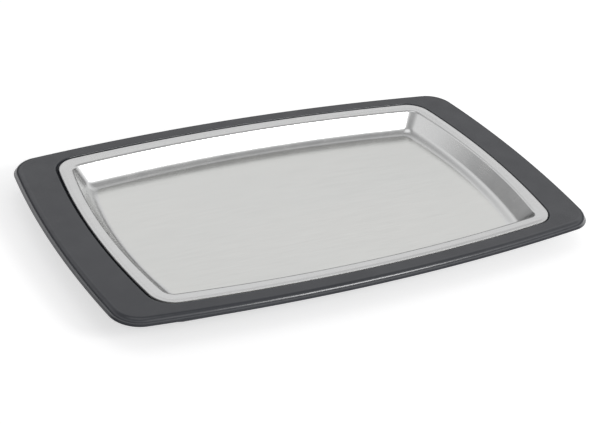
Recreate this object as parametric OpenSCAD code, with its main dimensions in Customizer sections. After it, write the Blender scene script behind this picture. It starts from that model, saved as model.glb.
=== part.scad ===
// Oblong serving tray: a moulded base with a wide flat rim, and a pressed metal dish that lifts out.
// +Z is up, X runs along the length, and the origin is the middle of the face that the base rests on.

/* [Base] */
// Length of the base between the middles of its short sides
base_l = 330; // [324:1:350]
// Width of the base between the middles of its long sides
base_w = 197.5; // [194:0.5:212]
// Height of the base, from the table to the top of its rim
base_h = 20; // [19.5:0.5:24]
// How far the short sides of the base bow outwards
base_bow_x = 6.1; // [4:0.1:8]
// How far the long sides of the base bow outwards
base_bow_y = 10.1; // [7:0.1:12]
// Corner radius of the base
base_corner_r = 18; // [14:0.5:22]
// Radius that rounds the upper outer edge of the rim
edge_r = 3; // [2:0.1:3.2]
// Height of the skirt round the outer edge
skirt_h = 4; // [3.8:0.1:4.5]
// How far the foot of the skirt flares outwards
skirt_flare = 0.8; // [0:0.1:1.2]
// Width of the skirt's lower face
skirt_w = 2.4; // [1.5:0.1:3]
// How far the underside of the rim is raised inside the skirt
rim_hollow = 0.8; // [0.4:0.1:1]

/* [Recess for the dish] */
// Gap round the dish when it sits in the middle of its recess
dish_gap = 1.1; // [1:0.1:1.5]
// Height of the recess's ledge below the top of the rim
ledge_drop = 2; // [1.9:0.1:2.4]
// Width of the ledge that the dish's rim sits over
ledge_w = 4; // [3:0.5:5]
// Radius of the recess's upper edge
lip_r = 0.6; // [0.4:0.1:0.8]

/* [Plinth] */
// Length of the plinth where it meets the table
plinth_l = 261; // [259:1:263]
// Width of the plinth where it meets the table
plinth_w = 158.5; // [156.5:0.5:160]
// Wall and floor thickness of the plinth
plinth_t = 2.6; // [2.4:0.1:3.5]
// Radius between the plinth's wall and its resting face
plinth_foot_r = 2; // [1:0.5:2.5]
// Radius between the plinth's wall and the underside of the rim
plinth_neck_r = 3; // [2:0.5:3.5]

/* [Dish] */
// Length of the dish between the middles of its short sides
dish_l = 281.5; // [280:0.5:282]
// Width of the dish between the middles of its long sides
dish_w = 173.5; // [172:0.5:174]
// Thickness of the metal sheet
sheet_t = 1; // [0.8:0.1:1]
// Width of the flat part of the rim, with its raised edge
dish_rim_w = 6.2; // [5.6:0.1:6.5]
// Depth from the flat of the rim to the floor
dish_depth = 12.4; // [11:0.1:13]
// Lean of the dish's wall from upright, in degrees
wall_lean = 33; // [30:1:38]
// Radius of the bend between the rim and the wall
shoulder_r = 2; // [1.8:0.1:2.5]
// Radius of the bend between the wall and the floor
foot_r = 7; // [5:0.5:8]
// Width of the raised bead along the rim's outer edge
bead_w = 2; // [1.4:0.1:2]
// Height of the bead above the flat of the rim
bead_h = 0.2; // [0.1:0.1:0.5]
// Place of the dish along X within the gap round it
dish_shift_x = 0.7; // [-0.7:0.1:0.7]
// Place of the dish along Y within the gap round it
dish_shift_y = 0; // [-0.7:0.1:0.7]

/* [Hidden] */

// Steps along half a short side, round a corner, along half a long side and round a bend
short_steps = 5;
corner_steps = 8;
long_steps = 7;
bend_steps = 4;

// Bows and corner radii of the dish and the plinth
dish_bow_x = 7.4;
dish_bow_y = 7.9;
dish_corner_r = 15;
plinth_bow_x = 6;
plinth_bow_y = 4.9;
plinth_corner_r = 11.5;
// Smallest corner radius that a wall keeps as it leans inwards
least_corner_r = 6;

// The flat of the dish's rim, a little below the top of the base's rim
dish_rim_z = base_h - 0.6;
// Half an outline: half length, half width, bow of the short sides, bow of the long sides, corner radius
base_outline = [base_l / 2, base_w / 2, base_bow_x, base_bow_y, base_corner_r];
dish_outline = [dish_l / 2, dish_w / 2, dish_bow_x, dish_bow_y, dish_corner_r];
recess_outline = inset(dish_outline, -dish_gap);
plinth_outline = [plinth_l / 2, plinth_w / 2, plinth_bow_x, plinth_bow_y, plinth_corner_r];

// The dish's straight wall between its two bends: its height and its run
bends_h = (shoulder_r + foot_r) * (1 - sin(wall_lean));
wall_h = dish_depth - bends_h;
wall_run = wall_h * tan(wall_lean);
floor_inset = dish_rim_w + (shoulder_r + foot_r) * cos(wall_lean) + wall_run;

// The same outline moved inwards by d, or outwards where d is negative
function inset(o, d) = [o[0] - d, o[1] - d, o[2], o[3], max(o[4] - d, least_corner_r)];

// Radius of the arc over a half chord with a given rise
function arc_radius(half_chord, rise) = (half_chord * half_chord + rise * rise) / (2 * rise);

// Point on a circle
function on_circle(centre, r, angle) = centre + r * [cos(angle), sin(angle)];

// A quarter of a bowed rectangle, from the end of its length to the end of its width.
// Each side is one arc, and the corner is an arc tangent to both.
function quarter(o) =
    let (
        long_r = arc_radius(o[0] - o[2], o[3]),
        short_r = arc_radius(o[1] - o[3], o[2]),
        long_c = [0, o[1] - long_r],
        short_c = [o[0] - short_r, 0],
        apart = norm(short_c - long_c),
        to_short = (short_c - long_c) / apart,
        reach = ((long_r - o[4]) ^ 2 - (short_r - o[4]) ^ 2 + apart ^ 2) / (2 * apart),
        side = sqrt((long_r - o[4]) ^ 2 - reach ^ 2),
        corner_c = long_c + to_short * reach + [to_short[1], -to_short[0]] * side,
        start = atan2(corner_c[1] - short_c[1], corner_c[0] - short_c[0]),
        end = atan2(corner_c[1] - long_c[1], corner_c[0] - long_c[0])
    )
    concat(
        [for (i = [0 : short_steps - 1]) on_circle(short_c, short_r, start * i / short_steps)],
        [for (i = [0 : corner_steps]) on_circle(corner_c, o[4], start + (end - start) * i / corner_steps)],
        [for (i = [1 : long_steps]) on_circle(long_c, long_r, end + (90 - end) * i / long_steps)]
    );

// The whole outline as a ring of points at height z, mirrored from its quarter
function ring(o, z) =
    let (q = quarter(o), n = len(q) - 1)
    concat(
        [for (i = [0 : n - 1]) [q[i][0], q[i][1], z]],
        [for (i = [n : -1 : 1]) [-q[i][0], q[i][1], z]],
        [for (i = [0 : n - 1]) [-q[i][0], -q[i][1], z]],
        [for (i = [n : -1 : 1]) [q[i][0], -q[i][1], z]]
    );

// Rings round a bend of a wall. The bend's centre is d inside the outline, at height z,
// and 0 degrees points inwards and 90 degrees points up.
function bend(o, d, z, r, from, to) =
    [for (i = [0 : bend_steps])
        let (angle = from + (to - from) * i / bend_steps)
        ring(inset(o, d + r * cos(angle)), z + r * sin(angle))];

// A closed solid through a row of rings, from its lower face round the outside to its upper face
module loft(rings) {
    n = len(rings[0]);
    last = len(rings) - 1;
    points = [for (r = rings) each r];
    walls = [for (k = [0 : last - 1], i = [0 : n - 1])
        let (a = k * n + i, b = k * n + (i + 1) % n)
        each [[a, a + n, b + n], [a, b + n, b]]];
    lower = [for (i = [0 : n - 1]) i];
    upper = [for (i = [n - 1 : -1 : 0]) last * n + i];
    polyhedron(points = points, faces = concat([lower], walls, [upper]), convexity = 10);
}

// The moulded base: a plinth with a well inside it, under a wide rim with a short skirt
module base() {
    well_outline = inset(recess_outline, ledge_w);
    neck_outline = inset(recess_outline, ledge_w - plinth_t);
    rim_under_z = base_h - skirt_h + rim_hollow;
    color("dimgray")
    loft(concat(
        bend(plinth_outline, plinth_foot_r, plinth_foot_r, plinth_foot_r, 270, 180),
        bend(neck_outline, -plinth_neck_r, rim_under_z - plinth_neck_r, plinth_neck_r, 0, 90),
        [ring(inset(base_outline, skirt_w + rim_hollow), rim_under_z)],
        [ring(inset(base_outline, skirt_w), base_h - skirt_h)],
        [ring(base_outline, base_h - skirt_h)],
        bend(base_outline, edge_r + skirt_flare, base_h - edge_r, edge_r, 180, 90),
        bend(recess_outline, -lip_r, base_h - lip_r, lip_r, 90, 0),
        [ring(recess_outline, base_h - ledge_drop)],
        bend(well_outline, -lip_r, base_h - ledge_drop - lip_r, lip_r, 90, 0),
        bend(plinth_outline, 2 * plinth_t, 2 * plinth_t, plinth_t, 180, 270)
    ));
}

// The dish: one pressed sheet with a raised bead, a flat rim, a leaning wall and a flat floor
module dish() {
    shoulder_z = dish_rim_z - shoulder_r;
    foot_z = dish_rim_z - dish_depth + foot_r;
    bead_step = bead_w / bend_steps;
    color("silver")
    translate([dish_shift_x, dish_shift_y, 0])
    loft(concat(
        bend(dish_outline, floor_inset, foot_z, foot_r + sheet_t, 270, 180 + wall_lean),
        bend(dish_outline, dish_rim_w, shoulder_z, shoulder_r - sheet_t, wall_lean, 90),
        [ring(inset(dish_outline, sheet_t / 4), dish_rim_z - sheet_t)],
        [ring(dish_outline, dish_rim_z - 3 * sheet_t / 4)],
        [ring(dish_outline, dish_rim_z)],
        [for (i = [1 : bend_steps])
            ring(inset(dish_outline, bead_step * i), dish_rim_z + bead_h * sin(180 * i / bend_steps))],
        bend(dish_outline, dish_rim_w, shoulder_z, shoulder_r, 90, wall_lean),
        bend(dish_outline, floor_inset, foot_z, foot_r, 180 + wall_lean, 270)
    ));
}

base();
dish();
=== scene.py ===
"""The looks of an oblong serving tray: a stainless dish in a dark moulded base.

Everything is in metres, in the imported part's frame: +Z up, X along the length, origin at the middle of
the face that the base rests on. Both pieces are smooth lofts through rings of points.
"""
import math

import bpy
from mathutils import Matrix, Vector


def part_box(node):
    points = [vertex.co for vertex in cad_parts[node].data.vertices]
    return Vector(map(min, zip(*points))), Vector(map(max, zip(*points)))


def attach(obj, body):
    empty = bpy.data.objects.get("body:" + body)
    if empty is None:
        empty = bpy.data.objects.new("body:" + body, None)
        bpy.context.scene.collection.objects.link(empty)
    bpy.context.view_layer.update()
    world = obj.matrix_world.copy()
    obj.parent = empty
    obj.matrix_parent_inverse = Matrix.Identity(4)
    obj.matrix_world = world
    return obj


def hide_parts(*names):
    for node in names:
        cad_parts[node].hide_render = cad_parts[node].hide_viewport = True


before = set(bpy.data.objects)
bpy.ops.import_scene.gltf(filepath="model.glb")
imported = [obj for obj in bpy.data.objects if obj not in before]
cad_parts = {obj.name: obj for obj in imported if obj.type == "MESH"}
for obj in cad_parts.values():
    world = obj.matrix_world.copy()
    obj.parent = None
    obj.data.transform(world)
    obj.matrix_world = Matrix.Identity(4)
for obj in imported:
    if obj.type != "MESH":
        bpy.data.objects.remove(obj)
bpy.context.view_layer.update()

MM = 0.001

# ---------------------------------------------------------------- sizes, the overall ones from the frame

base_low, base_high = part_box("base")
dish_low, dish_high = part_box("dish")
BASE_TOP = base_high.z
BASE_HALF = (base_high - base_low) / 2
DISH_HALF = (dish_high - dish_low) / 2
DISH_MIDDLE = (dish_high + dish_low) / 2

# Outlines are (half length, half width, bow of the short sides, bow of the long sides, corner radius)
BASE_OUTLINE = (BASE_HALF.x, BASE_HALF.y, 6.1 * MM, 10.1 * MM, 18 * MM)
DISH_OUTLINE = (DISH_HALF.x, DISH_HALF.y, 7.4 * MM, 7.9 * MM, 15 * MM)
PLINTH_OUTLINE = (130.5 * MM, 79.25 * MM, 6 * MM, 4.9 * MM, 11.5 * MM)
# Smallest corner radius that a wall keeps as it leans inwards
LEAST_CORNER_R = 6 * MM

# The base's rim and its skirt
EDGE_R = 3 * MM
SKIRT_H = 4 * MM
SKIRT_FLARE = 0.8 * MM
SKIRT_W = 2.4 * MM
SKIRT_FOOT_R = 0.3 * MM
RIM_HOLLOW = 0.8 * MM

# The recess that the dish sits in, and the plinth under it
DISH_GAP = 1.1 * MM
LEDGE_DROP = 2 * MM
LEDGE_W = 4 * MM
LIP_R = 0.6 * MM
PLINTH_T = 2.6 * MM
PLINTH_FOOT_R = 2 * MM
PLINTH_NECK_R = 3 * MM

# Flat width beside the rim's outer edge and its inner lip, which keeps smooth shading flat between them
EDGE_MARGIN = 1 * MM
LIP_MARGIN = 0.6 * MM

# The dish: its sheet, its rim, and its wall between two bends
SHEET_T = 1 * MM
CUT_R = SHEET_T / 4
DISH_RIM_W = 6.2 * MM
DISH_RIM_Z = BASE_TOP - 0.6 * MM
CROWN_W = 3.2 * MM
CROWN_H = 0.2 * MM
RIM_EDGE_R = 0.15 * MM
DISH_DEPTH = 12.4 * MM
WALL_LEAN = 33
SHOULDER_R = 2 * MM
FOOT_R = 7 * MM

# Steps along half a short side, round a corner, along half a long side and round a bend
SHORT_STEPS = 12
CORNER_STEPS = 12
LONG_STEPS = 18
BEND_STEPS = 10
# Where a flat face has rings, as shares of the way from its middle to its edge
FLAT_SHARES = [0.04, 0.2, 0.4, 0.6, 0.8, 0.93]

# Material slots: one in the base, and two in the dish
PLASTIC = 0
SATIN, BRIGHT = 0, 1


# ---------------------------------------------------------------- outlines and lofts

def inset(outline, d):
    """The outline moved inwards by d, or outwards where d is negative."""
    a, b, bow_x, bow_y, r = outline
    return (a - d, b - d, bow_x, bow_y, max(r - d, LEAST_CORNER_R))


def arc_radius(half_chord, rise):
    """Radius of the arc over a half chord with a given rise."""
    return (half_chord ** 2 + rise ** 2) / (2 * rise)


def arc(centre, r, start, end, steps):
    """Points on an arc, with both its ends."""
    angles = [start + (end - start) * i / steps for i in range(steps + 1)]
    return [(centre[0] + r * math.cos(a), centre[1] + r * math.sin(a)) for a in angles]


def quarter(outline):
    """A quarter of a bowed rectangle: half a short side, a corner tangent to both, half a long side."""
    a, b, bow_x, bow_y, r = outline
    long_r = arc_radius(a - bow_x, bow_y)
    short_r = arc_radius(b - bow_y, bow_x)
    long_c = Vector((0, b - long_r))
    short_c = Vector((a - short_r, 0))
    apart = (short_c - long_c).length
    to_short = (short_c - long_c).normalized()
    reach = ((long_r - r) ** 2 - (short_r - r) ** 2 + apart ** 2) / (2 * apart)
    side = math.sqrt((long_r - r) ** 2 - reach ** 2)
    corner_c = long_c + to_short * reach + Vector((to_short.y, -to_short.x)) * side
    start = math.atan2(corner_c.y - short_c.y, corner_c.x - short_c.x)
    end = math.atan2(corner_c.y - long_c.y, corner_c.x - long_c.x)
    return (arc(short_c, short_r, 0, start, SHORT_STEPS)[:-1]
            + arc(corner_c, r, start, end, CORNER_STEPS)
            + arc(long_c, long_r, end, math.pi / 2, LONG_STEPS)[1:])


def ring(outline, z):
    """The whole outline at height z, mirrored from its quarter."""
    q = quarter(outline)
    back = q[:0:-1]
    return ([(x, y, z) for x, y in q[:-1]] + [(-x, y, z) for x, y in back]
            + [(-x, -y, z) for x, y in q[:-1]] + [(x, -y, z) for x, y in back])


def bend(outline, d, z, r, start, end):
    """Rings round a bend whose centre is d inside the outline at height z.

    Angles are in degrees: 0 points inwards and 90 points up.
    """
    angles = [math.radians(start + (end - start) * i / BEND_STEPS) for i in range(BEND_STEPS + 1)]
    return [ring(inset(outline, d + r * math.cos(a)), z + r * math.sin(a)) for a in angles]


def flat(outline, z, from_middle):
    """Rings that fill a flat face between its middle and the outline."""
    shares = FLAT_SHARES if from_middle else FLAT_SHARES[::-1]
    edge = ring(outline, z)
    return [[(x * s, y * s, z) for x, y, z in edge] for s in shares]


def loft(name, sections, offset=(0, 0, 0)):
    """A closed mesh through rows of rings. Each section is (material slot, wear, rings).

    Wear is 1 on edges that are rubbed or cut and 0 on plain faces, and the materials read it.
    """
    rings, slots, wears = [], [], []
    for slot, wear, rows in sections:
        rings += rows
        slots += [slot] * len(rows)
        wears += [wear] * len(rows)
    n = len(rings[0])
    points = [Vector(p) + Vector(offset) for r in rings for p in r]
    faces, face_slots = [tuple(range(n - 1, -1, -1))], [slots[0]]
    for k in range(len(rings) - 1):
        for i in range(n):
            j = (i + 1) % n
            faces.append((k * n + i, k * n + j, (k + 1) * n + j, (k + 1) * n + i))
            face_slots.append(slots[k + 1])
    last = (len(rings) - 1) * n
    faces.append(tuple(last + i for i in range(n)))
    face_slots.append(slots[-1])
    mesh = bpy.data.meshes.new(name)
    mesh.from_pydata(points, [], faces)
    mesh.update()
    mesh.polygons.foreach_set("material_index", face_slots)
    mesh.polygons.foreach_set("use_smooth", [True] * len(faces))
    wear = mesh.attributes.new("wear", "FLOAT", "POINT")
    wear.data.foreach_set("value", [w for w in wears for _ in range(n)])
    piece = bpy.data.objects.new(name, mesh)
    bpy.context.scene.collection.objects.link(piece)
    return piece


# ---------------------------------------------------------------- materials

# Noise seldom leaves this range, so it is stretched from here
NOISE_LOW, NOISE_HIGH = 0.3, 0.7


class Nodes:
    """Short helpers to build one material's node tree."""

    def __init__(self, name):
        self.material = bpy.data.materials.new(name)
        self.material.use_nodes = True
        self.tree = self.material.node_tree
        self.shader = self.tree.nodes["Principled BSDF"]

    def node(self, kind, **values):
        made = self.tree.nodes.new(kind)
        for key, value in values.items():
            setattr(made, key, value)
        return made

    def link(self, out, into):
        self.tree.links.new(out, into)

    def place(self, scale):
        """Object coordinates, stretched by scale."""
        coords = self.node("ShaderNodeTexCoord")
        mapping = self.node("ShaderNodeMapping")
        mapping.inputs["Scale"].default_value = scale
        self.link(coords.outputs["Object"], mapping.inputs["Vector"])
        return mapping.outputs["Vector"]

    def noise(self, scale, detail=4, stretch=(1, 1, 1)):
        made = self.node("ShaderNodeTexNoise")
        made.inputs["Scale"].default_value = scale
        made.inputs["Detail"].default_value = detail
        self.link(self.place(stretch), made.inputs["Vector"])
        return made.outputs["Fac"]

    def spread(self, value, low, high):
        """Noise stretched to run from low to high."""
        made = self.node("ShaderNodeMapRange")
        made.inputs["From Min"].default_value = NOISE_LOW
        made.inputs["From Max"].default_value = NOISE_HIGH
        made.inputs["To Min"].default_value = low
        made.inputs["To Max"].default_value = high
        self.link(value, made.inputs["Value"])
        return made.outputs["Result"]

    def add(self, a, b):
        made = self.node("ShaderNodeMath", operation="ADD")
        self.link(a, made.inputs[0])
        self.link(b, made.inputs[1])
        return made.outputs[0]

    def scale(self, value, factor):
        """A value times a plain number."""
        made = self.node("ShaderNodeMath", operation="MULTIPLY")
        self.link(value, made.inputs[0])
        made.inputs[1].default_value = factor
        return made.outputs[0]

    def times(self, a, b):
        made = self.node("ShaderNodeMath", operation="MULTIPLY")
        self.link(a, made.inputs[0])
        self.link(b, made.inputs[1])
        return made.outputs[0]

    def wear(self):
        """The loft's wear, 0 to 1."""
        return self.node("ShaderNodeAttribute", attribute_name="wear").outputs["Fac"]

    def mix(self, factor, a, b):
        """A colour from a to b."""
        made = self.node("ShaderNodeMix", data_type="RGBA")
        self.link(factor, made.inputs["Factor"])
        made.inputs["A"].default_value = (*a, 1)
        made.inputs["B"].default_value = (*b, 1)
        return made.outputs["Result"]

    def bump(self, height, strength, distance, normal=None):
        made = self.node("ShaderNodeBump")
        made.inputs["Strength"].default_value = strength
        made.inputs["Distance"].default_value = distance
        self.link(height, made.inputs["Height"])
        if normal is not None:
            self.link(normal, made.inputs["Normal"])
        return made.outputs["Normal"]


def charcoal_plastic():
    """Dark moulded plastic: fine matt grain, faint mottling and slightly paler, smoother edges."""
    m = Nodes("charcoal_plastic")
    grain = m.noise(2600, 3)
    mottle = m.noise(38, 4)
    patchy = m.times(m.wear(), m.spread(m.noise(260, 5), 0.35, 1))
    shade = m.add(m.spread(mottle, 0, 0.5), m.scale(patchy, 0.5))
    m.link(m.mix(shade, (0.030, 0.032, 0.038), (0.046, 0.049, 0.056)), m.shader.inputs["Base Color"])
    rough = m.add(m.spread(m.noise(90, 5), 0.20, 0.27), m.scale(patchy, -0.08))
    m.link(rough, m.shader.inputs["Roughness"])
    m.shader.inputs["Specular IOR Level"].default_value = 0.65
    m.link(m.bump(grain, 0.25, 0.05 * MM), m.shader.inputs["Normal"])
    return m.material


def satin_steel():
    """The dish's floor: fine satin grain along its length, with soft drifts of gloss."""
    m = Nodes("satin_steel")
    m.shader.inputs["Metallic"].default_value = 1
    streaks = m.noise(1500, 3, (0.035, 1, 1))
    drift = m.noise(9, 3, (0.6, 1.6, 1))
    m.link(m.mix(m.spread(drift, 0, 1), (0.755, 0.76, 0.74), (0.805, 0.805, 0.78)),
           m.shader.inputs["Base Color"])
    rough = m.add(m.spread(drift, 0.15, 0.20), m.spread(streaks, -0.03, 0.04))
    m.link(rough, m.shader.inputs["Roughness"])
    m.link(m.bump(streaks, 0.12, 0.02 * MM), m.shader.inputs["Normal"])
    return m.material


def bright_steel():
    """The dish's rim and walls: polished, with faint press marks and hairlines, and a matt cut edge."""
    m = Nodes("bright_steel")
    m.shader.inputs["Metallic"].default_value = 1
    hairs = m.noise(1700, 4, (0.05, 1, 1))
    press = m.noise(60, 2)
    m.link(m.mix(m.spread(press, 0, 1), (0.78, 0.785, 0.78), (0.83, 0.83, 0.82)),
           m.shader.inputs["Base Color"])
    polished = m.add(m.spread(press, 0.22, 0.27), m.spread(hairs, -0.02, 0.03))
    m.link(m.add(polished, m.scale(m.wear(), 0.35)), m.shader.inputs["Roughness"])
    waves = m.bump(press, 0.10, 0.25 * MM)
    m.link(m.bump(hairs, 0.08, 0.02 * MM, waves), m.shader.inputs["Normal"])
    return m.material


def pale_floor():
    """The studio's floor: matt, with a trace of tone, and a glow that keeps the contact shadow faint."""
    m = Nodes("pale_floor")
    m.link(m.mix(m.spread(m.noise(3), 0, 1), (0.66, 0.66, 0.66), (0.69, 0.69, 0.69)),
           m.shader.inputs["Base Color"])
    m.shader.inputs["Roughness"].default_value = 0.9
    m.shader.inputs["Emission Color"].default_value = (1, 1, 1, 1)
    m.shader.inputs["Emission Strength"].default_value = 0.57
    m.shader.inputs["Specular IOR Level"].default_value = 0.1
    return m.material


# ---------------------------------------------------------------- the two pieces

def make_base():
    """The moulded base: a plinth with a well inside it, under a wide rim with a short skirt."""
    recess = inset(DISH_OUTLINE, -DISH_GAP)
    well = inset(recess, LEDGE_W)
    neck = inset(recess, LEDGE_W - PLINTH_T)
    rim_foot = BASE_TOP - SKIRT_H
    rim_under = rim_foot + RIM_HOLLOW
    ledge = BASE_TOP - LEDGE_DROP
    resting = inset(PLINTH_OUTLINE, PLINTH_FOOT_R)
    well_floor = inset(PLINTH_OUTLINE, 2 * PLINTH_T)
    piece = loft("moulded_base", [
        (PLASTIC, 0.2, flat(resting, 0, True)),
        (PLASTIC, 1, bend(PLINTH_OUTLINE, PLINTH_FOOT_R, PLINTH_FOOT_R, PLINTH_FOOT_R, 270, 180)),
        (PLASTIC, 0, bend(neck, -PLINTH_NECK_R, rim_under - PLINTH_NECK_R, PLINTH_NECK_R, 0, 90)),
        (PLASTIC, 0, [ring(inset(BASE_OUTLINE, SKIRT_W + RIM_HOLLOW), rim_under)]),
        (PLASTIC, 0.5, [ring(inset(BASE_OUTLINE, SKIRT_W), rim_foot)]),
        (PLASTIC, 0.8, bend(BASE_OUTLINE, SKIRT_FOOT_R, rim_foot + SKIRT_FOOT_R, SKIRT_FOOT_R, 270, 180)),
        (PLASTIC, 1, bend(BASE_OUTLINE, EDGE_R + SKIRT_FLARE, BASE_TOP - EDGE_R, EDGE_R, 180, 90)),
        (PLASTIC, 0, [ring(inset(BASE_OUTLINE, EDGE_R + SKIRT_FLARE + EDGE_MARGIN), BASE_TOP)]),
        (PLASTIC, 0, [ring(inset(recess, -LIP_R - LIP_MARGIN), BASE_TOP)]),
        (PLASTIC, 1, bend(recess, -LIP_R, BASE_TOP - LIP_R, LIP_R, 90, 0)),
        (PLASTIC, 0, [ring(recess, ledge)]),
        (PLASTIC, 0.4, bend(well, -LIP_R, ledge - LIP_R, LIP_R, 90, 0)),
        (PLASTIC, 0, bend(PLINTH_OUTLINE, 2 * PLINTH_T, 2 * PLINTH_T, PLINTH_T, 180, 270)),
        (PLASTIC, 0, flat(well_floor, PLINTH_T, False)),
    ])
    piece.data.materials.append(charcoal_plastic())
    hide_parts("base")
    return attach(piece, "base")


def make_dish():
    """The dish: one pressed sheet with a crowned rim, leaning walls and a flat floor."""
    lean = math.radians(WALL_LEAN)
    bends_h = (SHOULDER_R + FOOT_R) * (1 - math.sin(lean))
    wall_run = (DISH_DEPTH - bends_h) * math.tan(lean)
    floor_d = DISH_RIM_W + (SHOULDER_R + FOOT_R) * math.cos(lean) + wall_run
    floor_z = DISH_RIM_Z - DISH_DEPTH
    foot_z = floor_z + FOOT_R
    shoulder_z = DISH_RIM_Z - SHOULDER_R
    cut_z = DISH_RIM_Z - SHEET_T + CUT_R
    edge_z = DISH_RIM_Z + CROWN_H - RIM_EDGE_R
    floor_edge = inset(DISH_OUTLINE, floor_d)
    shares = [i / BEND_STEPS for i in range(1, BEND_STEPS + 1)]
    crown = [ring(inset(DISH_OUTLINE, RIM_EDGE_R + CROWN_W * u),
                  DISH_RIM_Z + CROWN_H * (1 + math.cos(math.pi * u)) / 2) for u in shares]
    piece = loft("pressed_dish", [
        (SATIN, 0, flat(floor_edge, floor_z - SHEET_T, True)),
        (BRIGHT, 0, bend(DISH_OUTLINE, floor_d, foot_z, FOOT_R + SHEET_T, 270, 180 + WALL_LEAN)),
        (BRIGHT, 0, bend(DISH_OUTLINE, DISH_RIM_W, shoulder_z, SHOULDER_R - SHEET_T, WALL_LEAN, 90)),
        (BRIGHT, 1, bend(DISH_OUTLINE, CUT_R, cut_z, CUT_R, 270, 180)),
        (BRIGHT, 1, bend(DISH_OUTLINE, RIM_EDGE_R, edge_z, RIM_EDGE_R, 180, 90)),
        (BRIGHT, 0, crown),
        (BRIGHT, 0, bend(DISH_OUTLINE, DISH_RIM_W, shoulder_z, SHOULDER_R, 90, WALL_LEAN)),
        (BRIGHT, 0, bend(DISH_OUTLINE, floor_d, foot_z, FOOT_R, 180 + WALL_LEAN, 270)),
        (SATIN, 0, flat(floor_edge, floor_z, False)),
    ], (DISH_MIDDLE.x, DISH_MIDDLE.y, 0))
    piece.data.materials.append(satin_steel())
    piece.data.materials.append(bright_steel())
    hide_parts("dish")
    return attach(piece, "dish")


# ---------------------------------------------------------------- camera, floor and light

# The camera stands at this azimuth, elevation and distance from its aim, and is turned about its view
CAMERA_AZIMUTH = math.radians(-32.76)
CAMERA_ELEVATION = math.radians(31.59)
CAMERA_ROLL = math.radians(7.56)
CAMERA_DISTANCE = 0.866
CAMERA_LENS = 84.1
# Its aim, along X from the middle of the tray's top, and its steps to its own right and up from there
CAMERA_AIM_X = -0.9 * MM
CAMERA_RIGHT = -2.6 * MM
CAMERA_UP = -13.4 * MM

FLOOR_HALF = 4.0
FLOOR_DROP = 0.2 * MM

# The key light, in front and to the right: its size is a width and a height
KEY_AZIMUTH = math.radians(31)
KEY_ELEVATION = math.radians(33)
KEY_DISTANCE = 1.6
KEY_SIZE = (0.5, 0.42)
KEY_RADIANCE = 11
# Reach of the soft glow round the key light: across, up and in depth, on a sphere of radius 1
GLOW_SIZE = (0.9, 0.75, 1)
# The sky's greys: (sine of the elevation, grey)
SKY = [(0.0, 0.08), (0.33, 0.19), (0.43, 0.76), (0.5, 0.84), (0.6, 0.82), (0.8, 0.40), (0.93, 0.24),
       (0.97, 1.0), (1.0, 1.0)]
# How much bluer than grey the sky is
SKY_BLUE = 1.01


def direction(azimuth, elevation):
    """From the object towards a place at that azimuth and elevation. Azimuth 0 is in front, at -Y."""
    return Vector((math.sin(azimuth) * math.cos(elevation),
                   -math.cos(azimuth) * math.cos(elevation),
                   math.sin(elevation)))


def make_camera():
    """A long lens from the front left, looking down at the middle of the tray's top."""
    back = direction(CAMERA_AZIMUTH, CAMERA_ELEVATION)
    level = (-back).cross(Vector((0, 0, 1))).normalized()
    upright = level.cross(-back)
    right = level * math.cos(CAMERA_ROLL) + upright * math.sin(CAMERA_ROLL)
    up = upright * math.cos(CAMERA_ROLL) - level * math.sin(CAMERA_ROLL)
    camera = bpy.data.objects.new("camera", bpy.data.cameras.new("camera"))
    camera.data.lens = CAMERA_LENS
    aim = Vector((CAMERA_AIM_X, 0, BASE_TOP))
    place = aim + back * CAMERA_DISTANCE + right * CAMERA_RIGHT + up * CAMERA_UP
    turn = Matrix((right, up, back)).transposed().to_4x4()
    camera.matrix_world = Matrix.Translation(place) @ turn
    bpy.context.scene.collection.objects.link(camera)
    bpy.context.scene.camera = camera


def make_floor():
    """A wide pale floor, a hair below the face that the base rests on."""
    mesh = bpy.data.meshes.new("studio_floor")
    signs = [(-1, -1), (1, -1), (1, 1), (-1, 1)]
    corners = [(x * FLOOR_HALF, y * FLOOR_HALF, 0) for x, y in signs]
    mesh.from_pydata(corners, [], [(0, 1, 2, 3)])
    floor = bpy.data.objects.new("studio_floor", mesh)
    floor.location.z = -FLOOR_DROP
    floor.data.materials.append(pale_floor())
    bpy.context.scene.collection.objects.link(floor)


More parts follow.
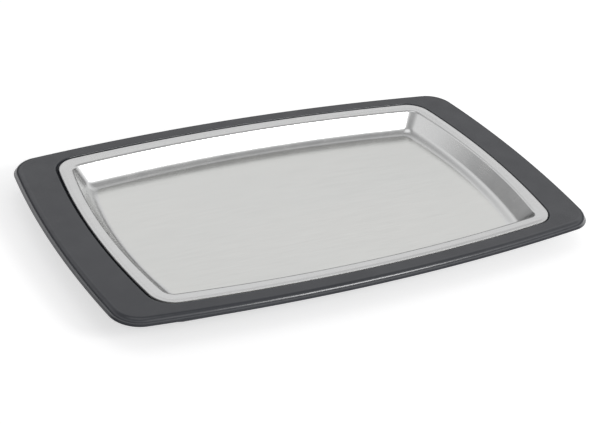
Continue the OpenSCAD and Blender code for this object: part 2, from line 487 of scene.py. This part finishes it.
def make_key():
    """The key light: a softbox that faces the object."""
    light = bpy.data.lights.new("key_softbox", "AREA")
    light.shape = "RECTANGLE"
    light.size, light.size_y = KEY_SIZE
    light.energy = KEY_RADIANCE * math.pi * KEY_SIZE[0] * KEY_SIZE[1]
    box = bpy.data.objects.new("key_softbox", light)
    towards = direction(KEY_AZIMUTH, KEY_ELEVATION)
    box.location = towards * KEY_DISTANCE
    box.rotation_mode = "QUATERNION"
    box.rotation_quaternion = towards.to_track_quat("Z", "Y")
    bpy.context.scene.collection.objects.link(box)


def sky_greys(tree, coords):
    """Greys that change only with elevation."""
    parts = tree.nodes.new("ShaderNodeSeparateXYZ")
    ramp = tree.nodes.new("ShaderNodeValToRGB")
    tree.links.new(coords, parts.inputs[0])
    tree.links.new(parts.outputs["Z"], ramp.inputs["Fac"])
    ramp.color_ramp.elements[0].position = SKY[0][0]
    ramp.color_ramp.elements[1].position = SKY[-1][0]
    for place, _ in SKY[1:-1]:
        ramp.color_ramp.elements.new(place)
    for element, (_, grey) in zip(ramp.color_ramp.elements, SKY):
        element.color = (grey, grey, grey * SKY_BLUE, 1)
    return ramp.outputs["Color"]


def key_glow(tree, coords):
    """A soft glow round the key light, brightest at its middle."""
    towards = direction(KEY_AZIMUTH, KEY_ELEVATION)
    place = tree.nodes.new("ShaderNodeMapping")
    place.vector_type = "TEXTURE"
    place.inputs["Location"].default_value = towards
    place.inputs["Rotation"].default_value = towards.to_track_quat("Z", "Y").to_euler()
    place.inputs["Scale"].default_value = GLOW_SIZE
    glow = tree.nodes.new("ShaderNodeTexGradient")
    glow.gradient_type = "QUADRATIC_SPHERE"
    tree.links.new(coords, place.inputs["Vector"])
    tree.links.new(place.outputs["Vector"], glow.inputs["Vector"])
    return glow.outputs["Color"]


def make_world():
    """Soft light from all round: dim at the horizon, pale above it, with a glow overhead and in front."""
    world = bpy.data.worlds.new("studio")
    bpy.context.scene.world = world
    world.use_nodes = True
    tree = world.node_tree
    coords = tree.nodes.new("ShaderNodeTexCoord").outputs["Generated"]
    both = tree.nodes.new("ShaderNodeMix")
    both.data_type = "RGBA"
    both.blend_type = "ADD"
    both.inputs["Factor"].default_value = 1
    tree.links.new(sky_greys(tree, coords), both.inputs["A"])
    tree.links.new(key_glow(tree, coords), both.inputs["B"])
    tree.links.new(both.outputs["Result"], tree.nodes["Background"].inputs["Color"])


make_camera()
make_base()
make_dish()
make_floor()
make_world()
make_key()
bpy.context.scene.view_settings.view_transform = "Standard"
